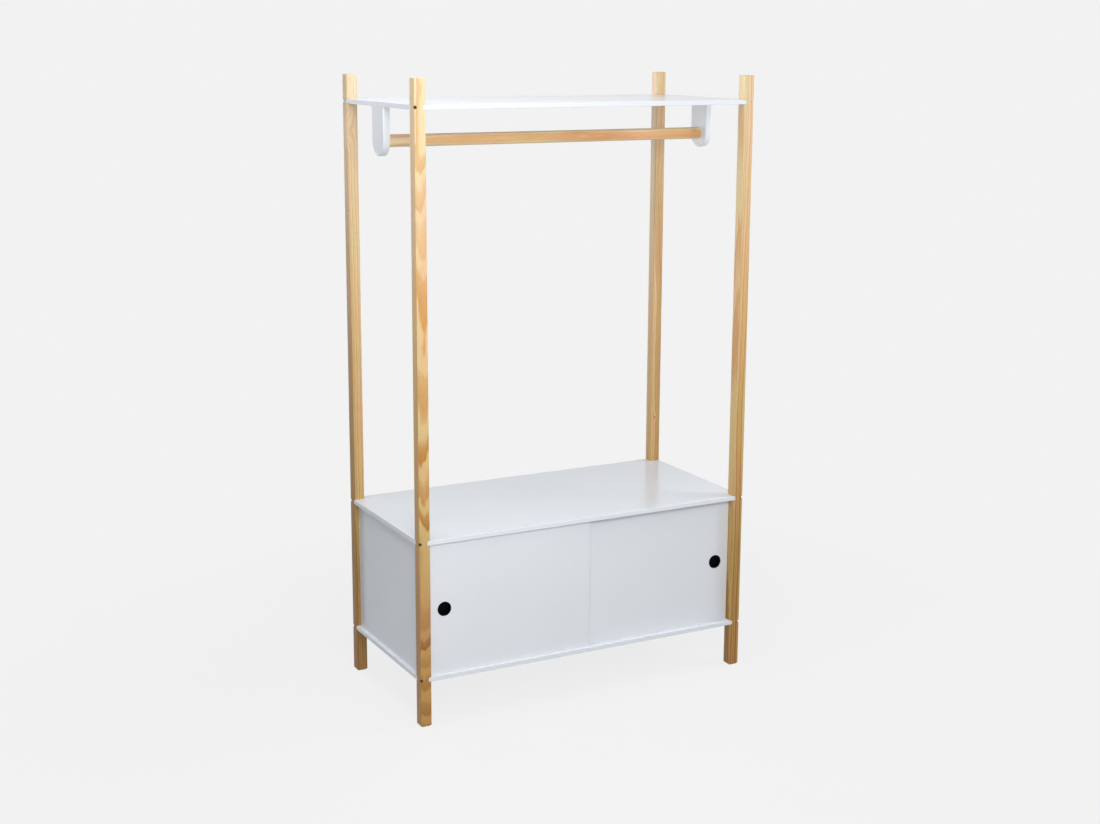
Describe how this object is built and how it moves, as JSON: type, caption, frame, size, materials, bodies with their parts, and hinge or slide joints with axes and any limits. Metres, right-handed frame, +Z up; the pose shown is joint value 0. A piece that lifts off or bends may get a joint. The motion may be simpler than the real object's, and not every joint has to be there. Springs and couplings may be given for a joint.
{
  "type": "kids wardrobe",
  "caption": "Open kids wardrobe: square wood posts carry white shelves, a round clothes rail under the top shelf and a low cabinet with sliding doors.",
  "frame": {"origin": "on the floor, under the middle of the wardrobe", "axes": "+Z up; +X to the right of someone who faces the doors; the doors face -Y"},
  "size_m": [0.8, 0.385, 1.345],
  "materials": {
    "pine": "planed pine, clear matt lacquer",
    "white_board": "fibreboard, smooth white satin paint",
    "beech_dowel": "plain turned beech",
    "black_steel": "black oxide",
    "zinc_steel": "bright zinc plate",
    "black_plastic": "moulded, fine matt grain"
  },
  "bodies": {
    "frame": {"post_front_left": "pine", "post_front_right": "pine", "post_back_left": "pine", "post_back_right": "pine", "bottom_shelf": "white_board", "middle_shelf": "white_board", "top_shelf": "white_board", "left_side_panel": "white_board", "right_side_panel": "white_board", "back_panel": "white_board", "left_rail_bracket": "white_board", "right_rail_bracket": "white_board", "clothes_rail": "pine", "bottom_shelf_bolts": "black_steel", "middle_shelf_bolts": "black_steel", "top_shelf_bolts": "black_steel", "bottom_shelf_barrel_nuts": "zinc_steel", "middle_shelf_barrel_nuts": "zinc_steel", "top_shelf_barrel_nuts": "zinc_steel", "left_side_panel_dowels": "beech_dowel", "right_side_panel_dowels": "beech_dowel", "back_panel_dowels": "beech_dowel", "left_bracket_screws": "zinc_steel", "right_bracket_screws": "zinc_steel"},
    "left_door": {"left_door": "white_board", "left_finger_pull": "black_plastic"},
    "right_door": {"right_door": "white_board", "right_finger_pull": "black_plastic"}
  },
  "joints": [
    {"name": "left_door_slide", "type": "slide", "parent": "frame", "child": "left_door", "axis": [1, 0, 0], "range_m": [0, 0.3675]},
    {"name": "right_door_slide", "type": "slide", "parent": "frame", "child": "right_door", "axis": [-1, 0, 0], "range_m": [0, 0.3675]}
  ]
}
